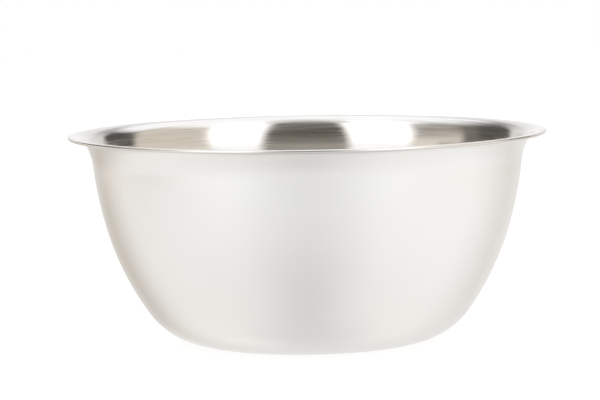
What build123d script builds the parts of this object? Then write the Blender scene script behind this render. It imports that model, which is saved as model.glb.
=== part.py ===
from build123d import *
import math
import os

# Mixing bowl, in millimetres. +Z is up, and the origin is on the bowl's axis at the level
# that the foot stands on.
#
# The whole bowl is one round of stainless sheet, drawn and spun to shape. From the axis
# outward it has a flat foot, a tight corner, a long round side, an upright wall, a lip that
# flares outward and an edge that is curled down and under. Because it is a body of
# revolution, the sheet's cross-section is drawn once and turned about the axis.

# Driving dimensions
sheet = 0.6                  # thickness of the metal
rim_radius = 120.0           # to the outside of the curled edge
foot_radius = 50.0           # where the foot starts to turn up into the corner

# The raised centre of the foot, which keeps the bowl from rocking
centre_radius = 38.0
centre_rise = 0.8
step_radius = 4.0            # both bends of the step between the centre and the foot

# The outside of the wall is a chain of tangent arcs. Each slope is the angle between the
# wall and the table where its arc ends.
corner_radius = 38.0
corner_slope = 54.7
side_radius = 140.0
side_slope = 73.8
wall_radius = 190.0
wall_slope = 83.8
flare_radius = 28.0          # from here up the wall bends outward
flare_slope = 60.3
lip_radius = 7.3             # turns the flare level

# The curled edge
curl_inside_radius = 0.2     # half the gap between the lip and the edge folded under it
fold_length = 1.2            # how far the folded edge runs back towards the wall

# Both bends of the step turn through this angle, and together they drop by centre_rise
step_turn = math.degrees(math.acos(1 - centre_rise / (2 * step_radius)))

# The curl's bend ends this far inside the rim
curl_start_radius = rim_radius - curl_inside_radius - sheet

with BuildPart() as bowl:
    with BuildSketch(Plane.XZ) as cross_section:
        with BuildLine() as outside:
            # Foot
            centre = Line((0, centre_rise), (centre_radius, centre_rise))
            step_top = JernArc(centre @ 1, centre % 1, step_radius, -step_turn)
            step_bottom = JernArc(step_top @ 1, step_top % 1, step_radius, step_turn)
            foot = Line(step_bottom @ 1, (foot_radius, 0))

            # Body and wall, which lean outward less and less
            corner = JernArc(foot @ 1, foot % 1, corner_radius, corner_slope)
            side = JernArc(corner @ 1, corner % 1, side_radius, side_slope - corner_slope)
            wall = JernArc(side @ 1, side % 1, wall_radius, wall_slope - side_slope)

            # Lip, which bends the other way until it is level
            flare = JernArc(wall @ 1, wall % 1, flare_radius, flare_slope - wall_slope)
            lip = JernArc(flare @ 1, flare % 1, lip_radius, -flare_slope)
            level = Line(lip @ 1, (curl_start_radius, (lip @ 1).Y))

            # Curled edge
            curl = JernArc(level @ 1, level % 1, curl_inside_radius, -180)
            fold = Line(curl @ 1, curl @ 1 - (fold_length, 0))

            # The metal lies on the upper, inner side of this line
            offset(amount=sheet, side=Side.LEFT)
        make_face()
    revolve(axis=Axis.Z)

bowl.part.label = "bowl"
os.makedirs("parts", exist_ok=True)
export_step(bowl.part, "parts/bowl.step")

height = bowl.part.bounding_box().max.Z
print(f"bowl: {2 * rim_radius:.1f} mm across, {height:.2f} mm high")
print(f"lip: level for the last {curl_start_radius - (lip @ 1).X:.2f} mm before the curl")
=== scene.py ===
# %% [markdown]
# # A stainless steel mixing bowl
#
# The real bowl is one round of thin sheet steel. A press and a spinning lathe turn the flat
# disc into a flat foot, a round body, an upright wall and a lip that flares outward, and then
# the edge of the lip is curled down and under so that it isn't sharp. Nothing is welded on.
#
# The imported CAD model already holds the true shape, but as loose triangles with nothing that a
# brushed finish could follow. So this lesson rebuilds the same skin with Geometry Nodes, prints
# its box, and spends its effort on what steel looks like: how it was brushed, how it reflects the
# room, and where hands have touched it.

# %% Load the imported model
import math

import bpy
from mathutils import Matrix, Vector


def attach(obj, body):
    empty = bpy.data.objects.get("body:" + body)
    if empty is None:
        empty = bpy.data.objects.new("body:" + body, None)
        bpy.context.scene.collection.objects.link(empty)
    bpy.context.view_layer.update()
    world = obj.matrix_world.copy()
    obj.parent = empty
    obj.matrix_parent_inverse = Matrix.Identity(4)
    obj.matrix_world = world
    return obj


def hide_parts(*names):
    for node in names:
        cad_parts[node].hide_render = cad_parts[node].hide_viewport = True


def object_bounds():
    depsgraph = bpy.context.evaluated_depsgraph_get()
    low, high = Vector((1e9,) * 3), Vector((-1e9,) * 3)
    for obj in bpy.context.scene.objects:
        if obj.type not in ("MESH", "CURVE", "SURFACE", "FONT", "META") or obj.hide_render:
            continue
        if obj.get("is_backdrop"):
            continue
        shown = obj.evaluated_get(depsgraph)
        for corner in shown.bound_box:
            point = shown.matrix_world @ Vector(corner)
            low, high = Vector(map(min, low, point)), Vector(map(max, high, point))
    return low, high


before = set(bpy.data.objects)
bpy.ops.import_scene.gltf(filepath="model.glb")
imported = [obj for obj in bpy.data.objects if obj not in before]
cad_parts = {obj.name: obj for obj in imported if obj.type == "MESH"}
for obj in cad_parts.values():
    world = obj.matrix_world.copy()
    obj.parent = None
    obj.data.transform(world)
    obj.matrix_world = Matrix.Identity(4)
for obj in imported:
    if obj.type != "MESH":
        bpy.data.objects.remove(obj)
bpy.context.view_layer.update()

# %% [markdown]
# ## The camera
#
# A product picture is taken from far away with a long lens, which keeps the two ends of the rim
# equally large. The camera stands 1.5 m off and looks down by about six degrees, so that a thin
# crescent of the inside shows behind the near rim. It is tipped by just under a degree, as a
# hand-levelled tripod often is. We build its rotation from three directions (right, up and
# back), because that is exact and leaves nothing for a constraint to solve.

# %% Place the camera
view_distance = 1.5                       # metres from the middle of the bowl
view_elevation = math.radians(5.94)       # how far it looks down
view_roll = math.radians(0.95)            # how far the right side of the picture is raised
bowl_middle = Vector((0, 0, 0.060))
aim_left = 0.0042                         # the lens points this far left of the bowl's middle,
aim_up = 0.0108                           # and this far above it

level_right = Vector((1, 0, 0))
level_up = Vector((0, math.sin(view_elevation), math.cos(view_elevation)))
towards_camera = Vector((0, -math.cos(view_elevation), math.sin(view_elevation)))
camera_right = math.cos(view_roll) * level_right - math.sin(view_roll) * level_up
camera_up = math.sin(view_roll) * level_right + math.cos(view_roll) * level_up

camera_place = bowl_middle + view_distance * towards_camera
aim_point = bowl_middle - aim_left * camera_right + aim_up * camera_up
back = (camera_place - aim_point).normalized()
right = camera_up.cross(back).normalized()
up = back.cross(right)

camera_data = bpy.data.cameras.new("camera")
camera_data.lens = 178.6                  # millimetres, on a sensor 36 mm wide
camera_data.sensor_width = 36
camera_data.clip_end = 50
camera = bpy.data.objects.new("camera", camera_data)
camera.matrix_world = Matrix.Translation(camera_place) @ Matrix((right, up, back)).transposed().to_4x4()
bpy.context.scene.collection.objects.link(camera)
bpy.context.scene.camera = camera
print(f"camera: {camera_data.lens} mm lens, {view_distance} m away")

# %% [markdown]
# ## Helpers for node trees
#
# Every tree below is made of the same two moves: add a node, then feed its sockets with numbers
# or with the output of another node. Two small functions say that once, and keep the recipes
# that follow short enough to read.


# %% Define the node helpers
def add(tree, kind, feeds=None, **settings):
    """Adds a node, sets its options, and feeds its inputs with values or other nodes' outputs."""
    node = tree.nodes.new(kind)
    for option, value in settings.items():
        setattr(node, option, value)
    for socket, value in (feeds or {}).items():
        if isinstance(value, bpy.types.NodeSocket):
            tree.links.new(value, node.inputs[socket])
        else:
            node.inputs[socket].default_value = value
    return node


def calc(tree, operation, a, b=0.0, c=0.0):
    """Adds a Math node and returns its output."""
    node = add(tree, "ShaderNodeMath", {0: a, 1: b, 2: c}, operation=operation)
    return node.outputs[0]


def group_sockets(tree, direction, sockets):
    """Gives a group its named inputs or outputs: {name: (type, default value)}."""
    for name, (kind, default) in sockets.items():
        socket = tree.interface.new_socket(name, in_out=direction, socket_type="NodeSocket" + kind)
        if default is not None:
            socket.default_value = default


# %% [markdown]
# ## One stretch of the bowl's outline
#
# Cut the bowl in half and its wall is a line that only ever runs straight or bends evenly, like
# a path walked by a turtle: go this far while turning this much. So one small node group is
# enough for every stretch. It lays a row of points, and each point remembers how much the path
# turns there and how far it goes before the next one. The chord of an arc is a little shorter
# than the arc, and the group allows for that, so the points fall exactly on the true curve.

# %% Build the "stretch" group
stretch_tree = bpy.data.node_groups.new("bowl_stretch", "GeometryNodeTree")
group_sockets(stretch_tree, "INPUT", {
    "Length": ("Float", 0.01), "Turn": ("Float", 0.0), "Steps": ("Int", 4), "Zone": ("Int", 0)})
group_sockets(stretch_tree, "OUTPUT", {"Points": ("Geometry", None)})
stretch_in = add(stretch_tree, "NodeGroupInput").outputs
step_turn = calc(stretch_tree, "DIVIDE", stretch_in["Turn"], stretch_in["Steps"])
step_arc = calc(stretch_tree, "DIVIDE", stretch_in["Length"], stretch_in["Steps"])
tiny_angle = 1e-5                         # keeps a straight stretch from dividing nought by nought
half_turn = calc(stretch_tree, "MAXIMUM", calc(stretch_tree, "ABSOLUTE", calc(
    stretch_tree, "DIVIDE", step_turn, 2.0)), tiny_angle)
chord_share = calc(stretch_tree, "DIVIDE", calc(stretch_tree, "SINE", half_turn), half_turn)
step_chord = calc(stretch_tree, "MULTIPLY", step_arc, chord_share)
points = add(stretch_tree, "GeometryNodeMeshLine", {"Count": stretch_in["Steps"]}).outputs["Mesh"]
for name, value in (("turn", step_turn), ("chord", step_chord), ("zone", stretch_in["Zone"])):
    points = add(stretch_tree, "GeometryNodeStoreNamedAttribute",
                 {"Geometry": points, "Name": name, "Value": value}).outputs["Geometry"]
add(stretch_tree, "NodeGroupOutput", {"Points": points})
print("stretch group:", len(stretch_tree.nodes), "nodes")

# %% [markdown]
# ## The bowl's sizes
#
# These are the sizes of the real object, in metres and degrees. A bend's slope is the angle of
# the wall to the table where the bend ends, so the body leans outward less and less (up to 83.8
# degrees) and the lip bends back out until it is level. The zones tell the materials apart
# later: 0 is the foot, 1 the body and 2 the curled edge.

# %% State the sizes
sheet = 0.0006
rim_radius = 0.120
foot_radius = 0.050
centre_radius = 0.038
centre_rise = 0.0008
step_radius = 0.004
curl_radius = 0.0002                      # on the inner side of the curl
fold_length = 0.0012
bends = [                                 # name, radius, slope where it ends, steps
    ("Corner", 0.038, 54.7, 26),
    ("Side", 0.140, 73.8, 20),
    ("Wall", 0.190, 83.8, 14),
    ("Flare", 0.028, 60.3, 12),
    ("Lip", 0.0073, 0.0, 22),
]
foot_zone, body_zone, edge_zone = 0, 1, 2
centre_steps, step_steps, foot_steps, level_steps, curl_steps, fold_steps = 16, 6, 4, 2, 16, 3
steps_around = 300

step_angle = math.acos(1 - centre_rise / (2 * step_radius))
lip_end = foot_radius
slope = 0.0
for name, radius, end_slope, steps in bends:
    outward = math.sin(math.radians(end_slope)) - math.sin(math.radians(slope))
    lip_end += radius * outward if end_slope > slope else -radius * outward
    slope = end_slope
level_length = rim_radius - curl_radius - sheet - lip_end
print(f"the lip runs level for {level_length * 1000:.2f} mm before its edge curls under")

# %% [markdown]
# ## Spinning the bowl
#
# The tree below does what the lathe did. It joins the stretches into one outline, adds up the
# turns to find the heading at each point, and adds up the chords to find the place. A grid of
# points is then wrapped around: its columns follow the outline, out along the lower side of the
# sheet and back along the upper side, and its rows go round the axis. Merging the points that
# fall together closes the seam and both poles. It could also be done with a Screw modifier, but
# here each point keeps its distance along the sheet, which the brushed finish needs later.

# %% Build the bowl tree
bowl_tree = bpy.data.node_groups.new("spun_bowl", "GeometryNodeTree")
size_inputs = {"Sheet": sheet, "Centre Radius": centre_radius, "Centre Rise": centre_rise,
               "Foot Radius": foot_radius, "Step Radius": step_radius, "Step Angle": step_angle,
               "Level Length": level_length, "Curl Radius": curl_radius, "Fold Length": fold_length}
for name, radius, end_slope, steps in bends:
    size_inputs[name + " Radius"] = radius
    size_inputs[name + " Slope"] = math.radians(end_slope)
finishes = ["Foot Finish", "Outside Finish", "Inside Finish", "Edge Finish"]
group_sockets(bowl_tree, "INPUT", {"Geometry": ("Geometry", None)})
group_sockets(bowl_tree, "INPUT", {name: ("Float", size) for name, size in size_inputs.items()})
group_sockets(bowl_tree, "INPUT", {"Steps Around": ("Int", steps_around)})
group_sockets(bowl_tree, "INPUT", {name: ("Material", None) for name in finishes})
group_sockets(bowl_tree, "OUTPUT", {"Bowl": ("Geometry", None)})
size = add(bowl_tree, "NodeGroupInput").outputs


def stretch(length, turn, steps, zone):
    """Adds one stretch of the outline and returns its points."""
    node = add(bowl_tree, "GeometryNodeGroup", node_tree=stretch_tree)
    for socket, value in (("Length", length), ("Turn", turn), ("Steps", steps), ("Zone", zone)):
        if isinstance(value, bpy.types.NodeSocket):
            bowl_tree.links.new(value, node.inputs[socket])
        else:
            node.inputs[socket].default_value = value
    return node.outputs["Points"]


def bend(radius, turn, steps, zone):
    """Adds an arc: its length is its radius times the angle it turns through."""
    length = calc(bowl_tree, "MULTIPLY", radius, calc(bowl_tree, "ABSOLUTE", turn))
    return stretch(length, turn, steps, zone)


step_width = calc(bowl_tree, "MULTIPLY", 2.0, calc(
    bowl_tree, "MULTIPLY", size["Step Radius"], calc(bowl_tree, "SINE", size["Step Angle"])))
step_end = calc(bowl_tree, "ADD", size["Centre Radius"], step_width)
foot_width = calc(bowl_tree, "SUBTRACT", size["Foot Radius"], step_end)
step_down = calc(bowl_tree, "MULTIPLY", size["Step Angle"], -1.0)
outline = [
    stretch(size["Centre Radius"], 0.0, centre_steps, foot_zone),
    bend(size["Step Radius"], step_down, step_steps, foot_zone),
    bend(size["Step Radius"], size["Step Angle"], step_steps, foot_zone),
    stretch(foot_width, 0.0, foot_steps, foot_zone),
]
slope_socket = 0.0
for name, radius, end_slope, steps in bends:
    turn = calc(bowl_tree, "SUBTRACT", size[name + " Slope"], slope_socket)
    outline.append(bend(size[name + " Radius"], turn, steps, body_zone))
    slope_socket = size[name + " Slope"]
outline += [
    stretch(size["Level Length"], 0.0, level_steps, body_zone),
    bend(size["Curl Radius"], -math.pi, curl_steps, edge_zone),
    stretch(size["Fold Length"], 0.0, fold_steps, edge_zone),
    stretch(0.0, 0.0, 1, edge_zone),      # the last point, where nothing more is walked
]
bend_points = sum(steps for name, radius, end_slope, steps in bends)
foot_points = centre_steps + 2 * step_steps + foot_steps
edge_points = curl_steps + fold_steps + 1
outline_points = foot_points + bend_points + level_steps + edge_points
joined = add(bowl_tree, "GeometryNodeJoinGeometry")
for points in reversed(outline):          # Join puts the last link first
    bowl_tree.links.new(points, joined.inputs["Geometry"])
section = joined.outputs["Geometry"]
print("outline:", outline_points, "points in", len(outline), "stretches")


# %% [markdown]
# The running totals come from Accumulate Field. Its Trailing output is the sum of everything
# before a point, which is exactly where the turtle stands when it reaches that point.

# %% Walk the outline and wrap the grid around the axis
def attribute(tree, name, kind="FLOAT"):
    """Reads a named attribute inside a geometry tree."""
    node = add(tree, "GeometryNodeInputNamedAttribute", {"Name": name}, data_type=kind)
    return next(output for output in node.outputs if output.enabled and output.name == "Attribute")


def running_total(tree, value, kind="FLOAT"):
    """The sum of a value over all the points before this one."""
    node = add(tree, "GeometryNodeAccumulateField", {"Value": value}, data_type=kind)
    return next(output for output in node.outputs if output.enabled and output.name == "Trailing")


def from_section(value, kind="FLOAT"):
    """Reads a value from the outline at the point that this column of the grid stands for."""
    node = add(bowl_tree, "GeometryNodeSampleIndex", data_type=kind)
    bowl_tree.links.new(section, node.inputs["Geometry"])
    bowl_tree.links.new(value, next(i for i in node.inputs if i.enabled and i.name == "Value"))
    bowl_tree.links.new(section_index, node.inputs["Index"])
    return next(output for output in node.outputs if output.enabled)


heading = running_total(bowl_tree, attribute(bowl_tree, "turn"))
chord_heading = calc(bowl_tree, "ADD", heading, calc(
    bowl_tree, "DIVIDE", attribute(bowl_tree, "turn"), 2.0))
chord = attribute(bowl_tree, "chord")
out_step = calc(bowl_tree, "MULTIPLY", chord, calc(bowl_tree, "COSINE", chord_heading))
up_step = calc(bowl_tree, "MULTIPLY", chord, calc(bowl_tree, "SINE", chord_heading))
walked_out = running_total(bowl_tree, out_step)
walked_up = calc(bowl_tree, "ADD", running_total(bowl_tree, up_step), size["Centre Rise"])
walked = running_total(bowl_tree, chord)

columns = 2 * outline_points
rows = calc(bowl_tree, "ADD", size["Steps Around"], 1.0)
grid = add(bowl_tree, "GeometryNodeMeshGrid", {"Vertices X": columns, "Vertices Y": rows})
index = add(bowl_tree, "GeometryNodeInputIndex").outputs[0]
column = calc(bowl_tree, "FLOOR", calc(bowl_tree, "DIVIDE", calc(bowl_tree, "ADD", index, 0.5), rows))
row = calc(bowl_tree, "SUBTRACT", index, calc(bowl_tree, "MULTIPLY", column, rows))
on_top = calc(bowl_tree, "GREATER_THAN", column, outline_points - 0.5)
way_back = calc(bowl_tree, "SUBTRACT", columns - 1.0, column)
section_index = calc(bowl_tree, "MINIMUM", column, way_back)

top_lift = calc(bowl_tree, "MULTIPLY", on_top, size["Sheet"])
heading_here = from_section(heading)
radius_here = calc(bowl_tree, "SUBTRACT", from_section(walked_out), calc(
    bowl_tree, "MULTIPLY", top_lift, calc(bowl_tree, "SINE", heading_here)))
height_here = calc(bowl_tree, "ADD", from_section(walked_up), calc(
    bowl_tree, "MULTIPLY", top_lift, calc(bowl_tree, "COSINE", heading_here)))
angle = calc(bowl_tree, "MULTIPLY", row, calc(bowl_tree, "DIVIDE", 2 * math.pi, size["Steps Around"]))
place = add(bowl_tree, "ShaderNodeCombineXYZ", {
    "X": calc(bowl_tree, "MULTIPLY", radius_here, calc(bowl_tree, "COSINE", angle)),
    "Y": calc(bowl_tree, "MULTIPLY", radius_here, calc(bowl_tree, "SINE", angle)),
    "Z": height_here}).outputs[0]

skin = grid.outputs["Mesh"]
for name, value in (("along", from_section(walked)), ("top", on_top),
                    ("zone", from_section(attribute(bowl_tree, "zone")))):
    skin = add(bowl_tree, "GeometryNodeStoreNamedAttribute",
               {"Geometry": skin, "Name": name, "Value": value}).outputs["Geometry"]
skin = add(bowl_tree, "GeometryNodeSetPosition",
           {"Geometry": skin, "Position": place}).outputs["Geometry"]
merge_distance = 1e-6
skin = add(bowl_tree, "GeometryNodeMergeByDistance",
           {"Geometry": skin, "Distance": merge_distance}).outputs["Geometry"]
skin = add(bowl_tree, "GeometryNodeSetShadeSmooth", {"Geometry": skin}).outputs["Geometry"]
sharp_angle = math.radians(40)
edge_angle = add(bowl_tree, "GeometryNodeInputMeshEdgeAngle").outputs["Unsigned Angle"]
is_sharp = calc(bowl_tree, "GREATER_THAN", edge_angle, sharp_angle)
skin = add(bowl_tree, "GeometryNodeSetShadeSmooth",
           {"Geometry": skin, "Selection": is_sharp, "Shade Smooth": False},
           domain="EDGE").outputs["Geometry"]

top_share = attribute(bowl_tree, "top")
zone_share = attribute(bowl_tree, "zone")
in_edge = calc(bowl_tree, "GREATER_THAN", zone_share, edge_zone - 0.5)
past_foot = calc(bowl_tree, "GREATER_THAN", zone_share, foot_zone + 0.5)
inside = calc(bowl_tree, "GREATER_THAN", top_share, 0.5)
choices = {"Foot Finish": True, "Outside Finish": past_foot,
           "Inside Finish": inside, "Edge Finish": in_edge}
for name, chosen in choices.items():      # each choice paints over the ones before it
    skin = add(bowl_tree, "GeometryNodeSetMaterial",
               {"Geometry": skin, "Selection": chosen, "Material": size[name]}).outputs["Geometry"]
whole = add(bowl_tree, "GeometryNodeRealizeInstances", {"Geometry": skin}).outputs["Geometry"]
add(bowl_tree, "NodeGroupOutput", {"Bowl": whole})
print("bowl tree:", len(bowl_tree.nodes), "nodes,", columns * (steps_around + 1), "grid points")

# %% [markdown]
# ## Lines left by the lathe
#
# A spun bowl is brushed while it turns, so its scratches run around it. The pattern is a noise
# that changes quickly along the sheet, from the middle to the rim, and slowly around the axis.
# For the first direction it reads the "along" value that the bowl tree stored; for the second,
# the compass direction of the point, as a place on a circle, which has no seam. Every finish on
# the bowl uses it with its own spacing, so it is a group.


# %% Build the lathe lines group
def new_shader_group(name, inputs, outputs):
    """Starts a shader group and returns its tree, its input sockets and its output node."""
    tree = bpy.data.node_groups.new(name, "ShaderNodeTree")
    group_sockets(tree, "INPUT", inputs)
    group_sockets(tree, "OUTPUT", outputs)
    return tree, add(tree, "NodeGroupInput").outputs, add(tree, "NodeGroupOutput")


def compass_direction(tree):
    """Returns the sockets X and Y of a point's direction from the axis, both from -1 to 1."""
    spot = add(tree, "ShaderNodeTexCoord").outputs["Object"]
    flattened = add(tree, "ShaderNodeVectorMath", {0: spot, 1: (1, 1, 0)}, operation="MULTIPLY").outputs[0]
    direction = add(tree, "ShaderNodeVectorMath", {0: flattened}, operation="NORMALIZE").outputs[0]
    parts = add(tree, "ShaderNodeSeparateXYZ", {0: direction}).outputs
    return parts["X"], parts["Y"]


def noise_around(tree, around, spacing, detail):
    """A noise with lines that run around the axis, about one spacing apart."""
    x, y = compass_direction(tree)
    along = add(tree, "ShaderNodeAttribute", attribute_name="along").outputs["Fac"]
    place = add(tree, "ShaderNodeCombineXYZ", {
        "X": calc(tree, "MULTIPLY", x, around), "Y": calc(tree, "MULTIPLY", y, around),
        "Z": calc(tree, "DIVIDE", along, spacing)}).outputs[0]
    return add(tree, "ShaderNodeTexNoise",
               {"Vector": place, "Scale": 1.0, "Detail": detail}).outputs["Fac"]


lathe_lines, lines_in, lines_out = new_shader_group(
    "lathe_lines",
    {"Fine Spacing": ("Float", 0.0004), "Broad Spacing": ("Float", 0.003),
     "Streaks Around": ("Float", 4.0)},
    {"Fine": ("Float", None), "Broad": ("Float", None)})
fine_detail, broad_detail = 3.0, 2.0      # how many finer layers each noise has
fine = noise_around(lathe_lines, lines_in["Streaks Around"], lines_in["Fine Spacing"], fine_detail)
broad = noise_around(lathe_lines, lines_in["Streaks Around"], lines_in["Broad Spacing"], broad_detail)
lathe_lines.links.new(fine, lines_out.inputs["Fine"])
lathe_lines.links.new(broad, lines_out.inputs["Broad"])
print("lathe lines group:", len(lathe_lines.nodes), "nodes")

# %% [markdown]
# ## Marks of handling
#
# Steel in use picks up soft smudges that dull it in patches, and hairline scratches that lie in
# every direction. Smudges are a large, soft noise. A hairline is what is left of a noise that is
# stretched very long and thin when only its crest is kept; three such layers, each turned
# another way, are enough for the eye to see no order.

# %% Build the handling marks group
smudge_levels = (0.35, 0.7)               # the noise where a smudge starts, and where it is full
crest_levels = (0.76, 0.84)               # the noise where a scratch starts, and where it is full
thinness = 45.0                           # how many times longer than wide a scratch is
layer_turns = (0.4, 1.5, 2.6)             # radians, how far each layer of scratches is turned,
axis_shares = (1.0, 1.7, 0.6)             # and how much of that turn goes about X, Y and Z
smudge_detail, scratch_detail = 3.0, 0.0  # how many finer layers each noise has

handling, handling_in, handling_out = new_shader_group(
    "handling_marks",
    {"Smudge Size": ("Float", 0.04), "Scratch Length": ("Float", 0.012),
     "Scratch Amount": ("Float", 0.3)},
    {"Smudge": ("Float", None), "Scratch": ("Float", None)})


def shrunk_to(place, length):
    """Divides a place by a length, so that a noise of size one gets that length."""
    per_length = calc(handling, "DIVIDE", 1.0, length)
    return add(handling, "ShaderNodeVectorMath", {0: place, 3: per_length}, operation="SCALE").outputs[0]


def marks_noise(place, detail):
    """A noise of size one at this place."""
    return add(handling, "ShaderNodeTexNoise",
               {"Vector": place, "Scale": 1.0, "Detail": detail}).outputs["Fac"]


spot = add(handling, "ShaderNodeTexCoord").outputs["Object"]
smudge = marks_noise(shrunk_to(spot, handling_in["Smudge Size"]), smudge_detail)
smudge = add(handling, "ShaderNodeMapRange", {
    "Value": smudge, "From Min": smudge_levels[0], "From Max": smudge_levels[1]},
    interpolation_type="SMOOTHSTEP").outputs["Result"]
scratches = 0.0
for layer_turn in layer_turns:
    turned = add(handling, "ShaderNodeMapping", {
        "Vector": spot, "Rotation": [layer_turn * share for share in axis_shares],
        "Scale": (1, thinness, thinness)}).outputs[0]
    ridge = marks_noise(shrunk_to(turned, handling_in["Scratch Length"]), scratch_detail)
    crest = add(handling, "ShaderNodeMapRange", {
        "Value": ridge, "From Min": crest_levels[0], "From Max": crest_levels[1]}).outputs["Result"]
    scratches = calc(handling, "MAXIMUM", crest, scratches)
scratch = calc(handling, "MULTIPLY", scratches, handling_in["Scratch Amount"])
handling.links.new(smudge, handling_out.inputs["Smudge"])
handling.links.new(scratch, handling_out.inputs["Scratch"])
print("handling marks group:", len(handling.nodes), "nodes")

# %% [markdown]
# ## Steel
#
# All four finishes are the same steel, brushed more or less finely. The recipe is one function:
# a metal whose colour and roughness drift a little from line to line, with the lines also as a
# very shallow bump. Grooves that run around the bowl smear a reflection across themselves, up
# and down the wall, while they leave it sharp around the bowl. That is anisotropy. The Tangent
# node gives the direction around the Z axis, and a quarter turn points the smear across it.


# %% Define the steel recipe
fine_share = 0.6                          # of the pattern of lines; the rest are the broad ones
line_levels = (0.35, 0.65)                # nearly all of the pattern lies between these
tone_drift = 0.1                          # how far the colour drifts at contrast 1
roughness_drift = 3.0                     # how far the roughness drifts, as a share of itself
scratch_depth = 0.2                       # how deep a scratch is, as a share of the grooves
across_the_lines = 0.25                   # of a full turn


def steel(name, colour, roughness, smear, spacing, contrast, bump_depth, marks, painted_crease_shade=None):
    """Makes one finish of the bowl's steel.

    spacing is the fine and the broad distance between lines, in metres, contrast how much they
    differ from each other, bump_depth the depth of the grooves in metres, and marks how much
    smudges and scratches change the roughness. The last argument is None, or the height below
    which the colour is darkened as painted shade for the crease under the curl, the height where
    it is darkest, and the share of its colour left there.
    """
    material = bpy.data.materials.new(name)
    material.use_nodes = True
    tree = material.node_tree
    tree.nodes.clear()
    fine_spacing, broad_spacing = spacing
    lines = add(tree, "ShaderNodeGroup", node_tree=lathe_lines)
    lines.inputs["Fine Spacing"].default_value = fine_spacing
    lines.inputs["Broad Spacing"].default_value = broad_spacing
    touched = add(tree, "ShaderNodeGroup", node_tree=handling)

    line_mix = calc(tree, "MULTIPLY_ADD", lines.outputs["Fine"], fine_share,
                    calc(tree, "MULTIPLY", lines.outputs["Broad"], 1 - fine_share))
    tone = add(tree, "ShaderNodeMapRange", {
        "Value": line_mix, "From Min": line_levels[0], "From Max": line_levels[1],
        "To Min": 1 - tone_drift * contrast, "To Max": 1 + tone_drift * contrast}).outputs["Result"]
    shade = add(tree, "ShaderNodeMix", {"Factor": 1.0, 6: (*colour, 1), 7: tone},
                data_type="RGBA", blend_type="MULTIPLY").outputs[2]
    # Painted shade: the colour is darkened below a given height, for the crease under the curled edge.
    if painted_crease_shade:
        painted_shade_start, painted_shade_end, share_left = painted_crease_shade
        spot_height = add(tree, "ShaderNodeSeparateXYZ", {
            0: add(tree, "ShaderNodeTexCoord").outputs["Object"]}).outputs["Z"]
        painted_shade_factor = add(tree, "ShaderNodeMapRange", {
            "Value": spot_height, "From Min": painted_shade_end, "From Max": painted_shade_start,
            "To Min": share_left, "To Max": 1.0}, interpolation_type="SMOOTHSTEP").outputs["Result"]
        shade = add(tree, "ShaderNodeMix", {"Factor": 1.0, 6: shade, 7: painted_shade_factor},
                    data_type="RGBA", blend_type="MULTIPLY").outputs[2]
    uneven = calc(tree, "MULTIPLY", calc(tree, "SUBTRACT", line_mix, 0.5),
                  roughness_drift * contrast * roughness)
    dulled = calc(tree, "MULTIPLY", calc(tree, "SUBTRACT", touched.outputs["Smudge"], 0.5), marks)
    rough = calc(tree, "ADD", calc(tree, "ADD", uneven, roughness), dulled)
    rough = calc(tree, "MULTIPLY_ADD", touched.outputs["Scratch"], marks, rough)
    scratched = calc(tree, "MULTIPLY", touched.outputs["Scratch"], scratch_depth)
    groove = calc(tree, "SUBTRACT", line_mix, scratched)
    bump = add(tree, "ShaderNodeBump",
               {"Height": groove, "Strength": 1.0, "Distance": bump_depth}).outputs[0]
    around = add(tree, "ShaderNodeTangent", direction_type="RADIAL", axis="Z").outputs[0]
    shader = add(tree, "ShaderNodeBsdfPrincipled", {
        "Base Color": shade, "Metallic": 1.0, "Roughness": rough, "Normal": bump,
        "Anisotropic": smear, "Anisotropic Rotation": across_the_lines, "Tangent": around}).outputs[0]
    add(tree, "ShaderNodeOutputMaterial", {"Surface": shader})
    print(f"{name}: roughness about {roughness}, lines {fine_spacing * 1000:.2f} mm apart")
    return material


# %% [markdown]
# ## The four finishes
#
# Outside, the bowl is satin: rough enough to turn the room into soft bands. Inside, the brushing
# is finer and the steel almost a mirror along the lines. The curled edge was rolled between
# smooth wheels and is rubbed by hands. The foot is ground flat in rings, and it is the dullest
# part, scuffed by every table it has stood on. The edge recipe also darkens the colour towards
# the lower side of the curl: this is painted shade for the crease under the curled edge.

# %% Make the finishes
# Painted shade under the curl: the edge's colour is darkened towards the underside of the curl.
edge_painted_shade = (0.1049, 0.1041, 0.82)      # the heights where it starts and is full, and how dark it is
finish_materials = {
    "Foot Finish": steel(
        "ground_foot", (0.66, 0.65, 0.635), roughness=0.38, smear=0.5, spacing=(0.0006, 0.0025),
        contrast=0.4, bump_depth=4e-6, marks=0.10),
    "Outside Finish": steel(
        "satin_outside", (0.70, 0.698, 0.691), roughness=0.29, smear=0.2, spacing=(0.0005, 0.004),
        contrast=0.05, bump_depth=1e-7, marks=0.03),
    "Inside Finish": steel(
        "brushed_inside", (0.66, 0.655, 0.645), roughness=0.17, smear=0.8, spacing=(0.0005, 0.003),
        contrast=0.9, bump_depth=1.5e-6, marks=0.03),
    "Edge Finish": steel(
        "rubbed_edge_painted_shade", (0.67, 0.655, 0.635), roughness=0.28, smear=0.3, spacing=(0.0003, 0.002),
        contrast=0.2, bump_depth=5e-7, marks=0.04, painted_crease_shade=edge_painted_shade),
}

# %% [markdown]
# ## From the tree to a plain mesh
#
# The tree is put on an empty mesh as a modifier, and its sizes and finishes are set by each
# socket's identifier. Blender is then asked for the evaluated result, which is copied into a
# mesh of its own, and the object that carried the modifier is thrown away. The bowl is one body
# with one shell, so it takes the place of the one CAD piece.

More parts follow.
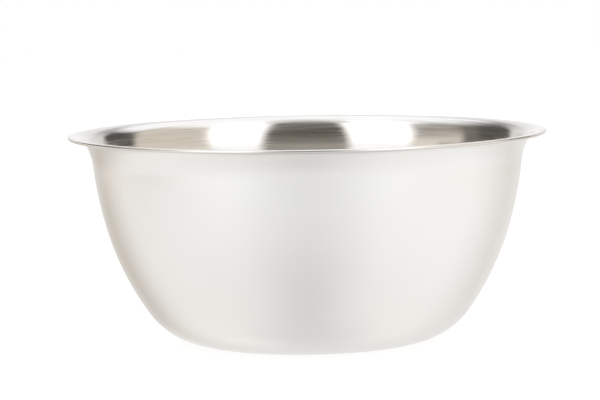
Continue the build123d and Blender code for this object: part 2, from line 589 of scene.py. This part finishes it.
# %% Spin the bowl and keep it as a plain mesh
blank = bpy.data.meshes.new("blank")
spinner = bpy.data.objects.new("spinner", blank)
bpy.context.scene.collection.objects.link(spinner)
spin = spinner.modifiers.new("spin", "NODES")
spin.node_group = bowl_tree
for item in bowl_tree.interface.items_tree:
    if item.in_out == "INPUT" and item.name in size_inputs:
        spin[item.identifier] = size_inputs[item.name]
    elif item.in_out == "INPUT" and item.name in finish_materials:
        spin[item.identifier] = finish_materials[item.name]
depsgraph = bpy.context.evaluated_depsgraph_get()
bowl_mesh = bpy.data.meshes.new_from_object(spinner.evaluated_get(depsgraph), depsgraph=depsgraph)
bowl_mesh.name = "mixing_bowl"
bowl = bpy.data.objects.new("mixing_bowl", bowl_mesh)
bpy.context.scene.collection.objects.link(bowl)
bpy.data.objects.remove(spinner)
lowest = min(v.co.z for v in bowl_mesh.vertices)
highest = max(v.co.z for v in bowl_mesh.vertices)
print(f"bowl: {len(bowl_mesh.vertices)} points, {len(bowl_mesh.polygons)} faces")
print(f"it stands at {lowest:.5f} m and reaches up to {highest:.5f} m")

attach(bowl, "root")
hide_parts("bowl")

# %% [markdown]
# ## The floor
#
# A shop picture of a bowl has it standing on nothing but white. The floor is a large pale sheet
# that also glows a little, so that it stays white right up to the foot and only a faint shadow
# is left. It hides from mirror rays, because what the steel sees of the table comes from the
# studio's lower half further down, where its brightness can be set for each direction. Seen from
# below it is clear, so that the foot can be looked at, and it lies a hair under the foot, because
# two faces in exactly the same place would flicker through each other.

# %% Lay the floor
floor_half = 3.0                          # metres from the bowl to each edge
floor_level = -0.0002
floor_glow = 0.80
floor_grey = 0.32
floor_roughness = 0.9
corners = [(-floor_half, -floor_half, floor_level), (floor_half, -floor_half, floor_level),
           (floor_half, floor_half, floor_level), (-floor_half, floor_half, floor_level)]
floor_mesh = bpy.data.meshes.new("floor")
floor_mesh.from_pydata(corners, [], [(0, 1, 2, 3)])
floor = bpy.data.objects.new("floor", floor_mesh)
bpy.context.scene.collection.objects.link(floor)
floor_material = bpy.data.materials.new("floor")
floor_material.use_nodes = True
floor_tree = floor_material.node_tree
floor_tree.nodes.clear()
pale = add(floor_tree, "ShaderNodeBsdfPrincipled", {
    "Base Color": (floor_grey, floor_grey, floor_grey, 1), "Roughness": floor_roughness,
    "Specular IOR Level": 0.0,
    "Emission Color": (1, 1, 1, 1), "Emission Strength": floor_glow}).outputs[0]
clear = add(floor_tree, "ShaderNodeBsdfTransparent").outputs[0]
from_below = add(floor_tree, "ShaderNodeNewGeometry").outputs["Backfacing"]
floor_shader = add(floor_tree, "ShaderNodeMixShader", {0: from_below, 1: pale, 2: clear}).outputs[0]
add(floor_tree, "ShaderNodeOutputMaterial", {"Surface": floor_shader})
floor_mesh.materials.append(floor_material)
floor.visible_glossy = False
floor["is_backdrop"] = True
print(f"floor: {2 * floor_half:.0f} m square")

# %% [markdown]
# ## The studio
#
# Polished steel has hardly any colour of its own: it shows the room. A product studio for metal
# is a white room with white panels, and with dark gaps between them that give the reflections
# their edges. The world's nodes can hold the whole room, so no card or lamp has to stand where
# another view would see it.
#
# The room is a list of what stands around the bowl, going round by compass angle: 0 is behind
# the camera, 90 to the right and 180 behind the bowl. Each part has a brightness at the skirting,
# just above it, higher up, and above its top. The big windows stand to either side of the dark
# camera corner. The table is a second, shorter list, and between its angles it changes evenly.

# %% Describe the room
room = [  # starts at, skirting, low, high, above, top in degrees, softness of the top, warmth
    (-180, 1.03, 1.03, 1.03, 1.50, 38, 8, 0.1),       # the white wall behind the bowl
    (-168, 0.86, 0.98, 0.42, 1.50, 35, 4, 0.2),
    (-148, 1.20, 0.10, 0.14, 1.50, 42.5, 14, 0.9),    # the dark gap on the left
    (-115, 0.48, 0.22, 0.24, 1.40, 44.5, 15, 0.9),
    (-101, 0.42, 1.02, 0.42, 1.40, 50, 15, 0.85),     # a beige panel, with something low before it
    (-84, 1.20, 1.02, 0.42, 1.70, 48, 10, 0.85),
    (-65, 1.55, 1.90, 1.90, 1.90, 45, 10, 0.0),       # the left window
    (-24, 0.62, 0.27, 0.165, 0.95, 68, 26, 1.0),      # the dark corner behind the camera
    (25.5, 1.55, 1.90, 1.90, 1.90, 45, 10, 0.0),      # the right window
    (60, 1.20, 0.92, 0.87, 1.55, 50, 11, 0.95),       # a second beige panel
    (115, 0.95, 0.11, 0.11, 1.45, 33.5, 7, 0.9),      # the dark gap on the right
    (147, 0.98, 0.98, 0.46, 1.45, 33.5, 5, 0.2),
    (168, 1.03, 1.03, 1.03, 1.50, 38, 8, 0.1),
]
table = [  # compass angle, brightness near its far edge and nearer the bowl, warmth of the far edge
    (-180, 1.09, 1.07, 0.15),
    (-156, 0.66, 1.30, 0.85),                         # the dark gap's foot on the left
    (-126, 1.20, 1.25, 0.25),
    (-50, 1.33, 1.18, 0.05),
    (0, 1.16, 0.91, 0.0),                             # the camera's side
    (50, 1.34, 1.24, 0.0),
    (110, 1.36, 1.28, 0.1),
    (150, 0.95, 1.25, 0.3),
    (180, 1.09, 1.07, 0.15),
]
table_warmth = 0.22                       # nearer the bowl
edge_gain = 0.03                          # how much brighter the table is right at its far edge
under_foot = (0.99, 0.975, 0.955)         # the table seen straight down
ceiling_back = 1.50                       # the brightness overhead, behind the bowl,
ceiling_front = 0.90                      # on the camera's side, where the windows don't reach,
ceiling_centre = 1.05                     # and straight above the bowl
ceiling_warmth = 0.15
warm_tint = (1.0, 0.90, 0.77)             # what warmth 1 does to white
window_lean = 0.3                         # how far a window's outer edge leans away as it rises
edge_softness = 2.5                       # degrees, to each side of an edge
brightest = 2.0                           # what a full ramp channel stands for
print("room:", len(room), "parts around,", len(table), "table directions")

# %% [markdown]
# Going up from straight down to straight up, each thing gives way to the next between two
# heights, in degrees. What lies beside the bowl also differs from what lies before and behind
# it, so a few pairs say at which compass angles, to the left or right, that change happens.

# %% State where one thing gives way to the next
straight_up = 90.0
foot_to_near_table = (-86.0, -58.0)
near_to_far_table = (-58.0, -16.0)
far_table_to_edge = (-21.0, -13.0)
table_to_skirting = (-10.5, -6.0)
skirting_to_low_wall = (8.0, 12.0)
low_to_high_wall = (14.0, 32.0)
overhead_in_front = 50.0                  # where the ceiling starts to be overhead, in front
overhead_beside = 74.0                    # and beside the bowl,
overhead_softness = 14.0                  # and over how many degrees it gets there
overhead_turn = (20.0, 75.0)              # compass angles
ceiling_turn = (35.0, 75.0)               # compass angles from the ceiling's front to its back
overhead_to_centre = (76.0, 86.0)
lean_pivot = 25.0                         # the height where a leaning edge stands at its listed angle
lean_turn = (26.0, 52.0)                  # compass angles from an upright edge to one that leans
print(f"the table ends between {table_to_skirting[0]} and {table_to_skirting[1]} degrees")

# %% [markdown]
# ### Helpers for the room
#
# A colour ramp has three channels, so one ramp can carry three of the list's columns at once.
# Between parts it changes over a few degrees, because nothing in a room is razor sharp when it
# is seen in brushed steel.


# %% Define the room helpers
world = bpy.data.worlds.new("studio")
bpy.context.scene.world = world
world.use_nodes = True
sky = world.node_tree
sky.nodes.clear()


def ease(value, low, high):
    """Goes smoothly from 0 at the low value to 1 at the high one."""
    return add(sky, "ShaderNodeMapRange", {"Value": value, "From Min": low, "From Max": high},
               interpolation_type="SMOOTHSTEP").outputs["Result"]


def blend(share, first, second):
    """Mixes two colours: the first at share 0, the second at share 1."""
    return add(sky, "ShaderNodeMix", {"Factor": share, 6: first, 7: second}, data_type="RGBA").outputs[2]


def around_ramp(compass, stops):
    """A ramp that runs once around: stops are (compass angle, three values). Returns its channels."""
    ramp = add(sky, "ShaderNodeValToRGB", {"Fac": compass})
    elements = ramp.color_ramp.elements
    while len(elements) < len(stops):
        elements.new(1.0)
    for element, (compass_angle, values) in zip(elements, stops):
        element.position = (compass_angle + 180) / 360
        element.color = (*values, 1)
    return add(sky, "ShaderNodeSeparateColor", {0: ramp.outputs["Color"]}).outputs


def level_stretches(rows):
    """Turns one value set for each part of the room into stops with a soft edge between parts."""
    stops = []
    for part, before, after in zip(room[1:], rows, rows[1:]):
        stops += [(part[0] - edge_softness, before), (part[0] + edge_softness, after)]
    return stops


def lit(level, warmth):
    """A colour with this brightness, as a share of the brightest, tinted by this much warmth."""
    tint = blend(warmth, (1, 1, 1, 1), (*warm_tint, 1))
    return add(sky, "ShaderNodeVectorMath", {0: tint, 3: calc(sky, "MULTIPLY", level, brightest)},
               operation="SCALE").outputs[0]


# %% [markdown]
# ### Putting the room together
#
# The direction of a ray is split into a compass angle and a height. The ramps say what stands
# at that angle, and the height picks from it: table, skirting, low wall, high wall, ceiling. The
# camera itself sees plain white.

# %% Build the studio
look = add(sky, "ShaderNodeTexCoord").outputs["Generated"]
ways = add(sky, "ShaderNodeSeparateXYZ", {0: look}).outputs
turned_by = calc(sky, "DEGREES", calc(sky, "ARCTAN2", ways["X"], calc(sky, "MULTIPLY", ways["Y"], -1.0)))
height = calc(sky, "DEGREES", calc(sky, "ARCSINE", ways["Z"]))
beside = calc(sky, "ABSOLUTE", turned_by)
above_pivot = calc(sky, "SUBTRACT", calc(sky, "MAXIMUM", height, 0.0), lean_pivot)
lean = calc(sky, "MULTIPLY", above_pivot, window_lean)
lean = calc(sky, "MULTIPLY", lean, ease(beside, *lean_turn))
lean = calc(sky, "MULTIPLY", lean, calc(sky, "SIGN", turned_by))
compass = calc(sky, "MULTIPLY_ADD", calc(sky, "SUBTRACT", turned_by, lean), 1 / 360, 0.5)

wall_rows = []
top_rows = []
warmth_rows = []
for start, skirting, low, high, above, top_height, top_softness, part_warmth in room:
    wall_rows.append((skirting / brightest, low / brightest, high / brightest))
    top_rows.append((above / brightest, top_height / straight_up, top_softness / straight_up))
    warmth_rows.append((part_warmth, 0, 0))
levels = around_ramp(compass, level_stretches(wall_rows))
tops = around_ramp(compass, level_stretches(top_rows))
warmth = around_ramp(compass, level_stretches(warmth_rows))["Red"]

top = calc(sky, "MULTIPLY", tops["Green"], straight_up)
softness = calc(sky, "MULTIPLY", tops["Blue"], straight_up)
above_top = ease(height, calc(sky, "SUBTRACT", top, softness), calc(sky, "ADD", top, softness))
walls = blend(ease(height, *low_to_high_wall),
              lit(levels["Green"], warmth), lit(levels["Blue"], warmth))
overhead_start = calc(sky, "MULTIPLY_ADD", ease(beside, *overhead_turn),
                      overhead_beside - overhead_in_front, overhead_in_front)
overhead_end = calc(sky, "ADD", overhead_start, overhead_softness)
overhead = calc(sky, "MULTIPLY_ADD", ease(beside, *ceiling_turn),
                (ceiling_back - ceiling_front) / brightest, ceiling_front / brightest)
ceiling = blend(ease(height, overhead_start, overhead_end),
                lit(tops["Red"], 0.0), lit(overhead, ceiling_warmth))
ceiling = blend(ease(height, *overhead_to_centre), ceiling,
                lit(ceiling_centre / brightest, ceiling_warmth))
upper_half = blend(above_top, walls, ceiling)
upper_half = blend(ease(height, *skirting_to_low_wall), lit(levels["Red"], warmth), upper_half)

table_levels = around_ramp(compass, [(angle, (far / brightest, near / brightest, warm))
                                     for angle, far, near, warm in table])
far_edge = calc(sky, "MULTIPLY_ADD", ease(height, *far_table_to_edge), edge_gain, 1.0)
far_level = calc(sky, "MULTIPLY", table_levels["Red"], far_edge)
lower_half = blend(ease(height, *near_to_far_table), lit(table_levels["Green"], table_warmth),
                   lit(far_level, table_levels["Blue"]))
lower_half = blend(ease(height, *foot_to_near_table), (*under_foot, 1), lower_half)
room_colour = blend(ease(height, *table_to_skirting), lower_half, upper_half)

lit_room = add(sky, "ShaderNodeBackground", {"Color": room_colour}).outputs[0]
plain_white = add(sky, "ShaderNodeBackground", {"Color": (1.0, 1.0, 1.0, 1)}).outputs[0]
seen_directly = add(sky, "ShaderNodeLightPath").outputs["Is Camera Ray"]
either = add(sky, "ShaderNodeMixShader", {0: seen_directly, 1: lit_room, 2: plain_white}).outputs[0]
add(sky, "ShaderNodeOutputWorld", {"Surface": either})
bpy.context.scene.view_settings.view_transform = "Standard"
print("studio:", len(sky.nodes), "nodes")

# %% [markdown]
# ## The bowl's box
#
# The rebuilt bowl has to fill the same box as the CAD model. Its lowest and highest corners are
# printed here.

# %% Print the bowl's box
visual_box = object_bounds()
rounded_box = [tuple(round(c, 4) for c in corner) for corner in visual_box]
print("visual box, lowest and highest corner:", rounded_box)
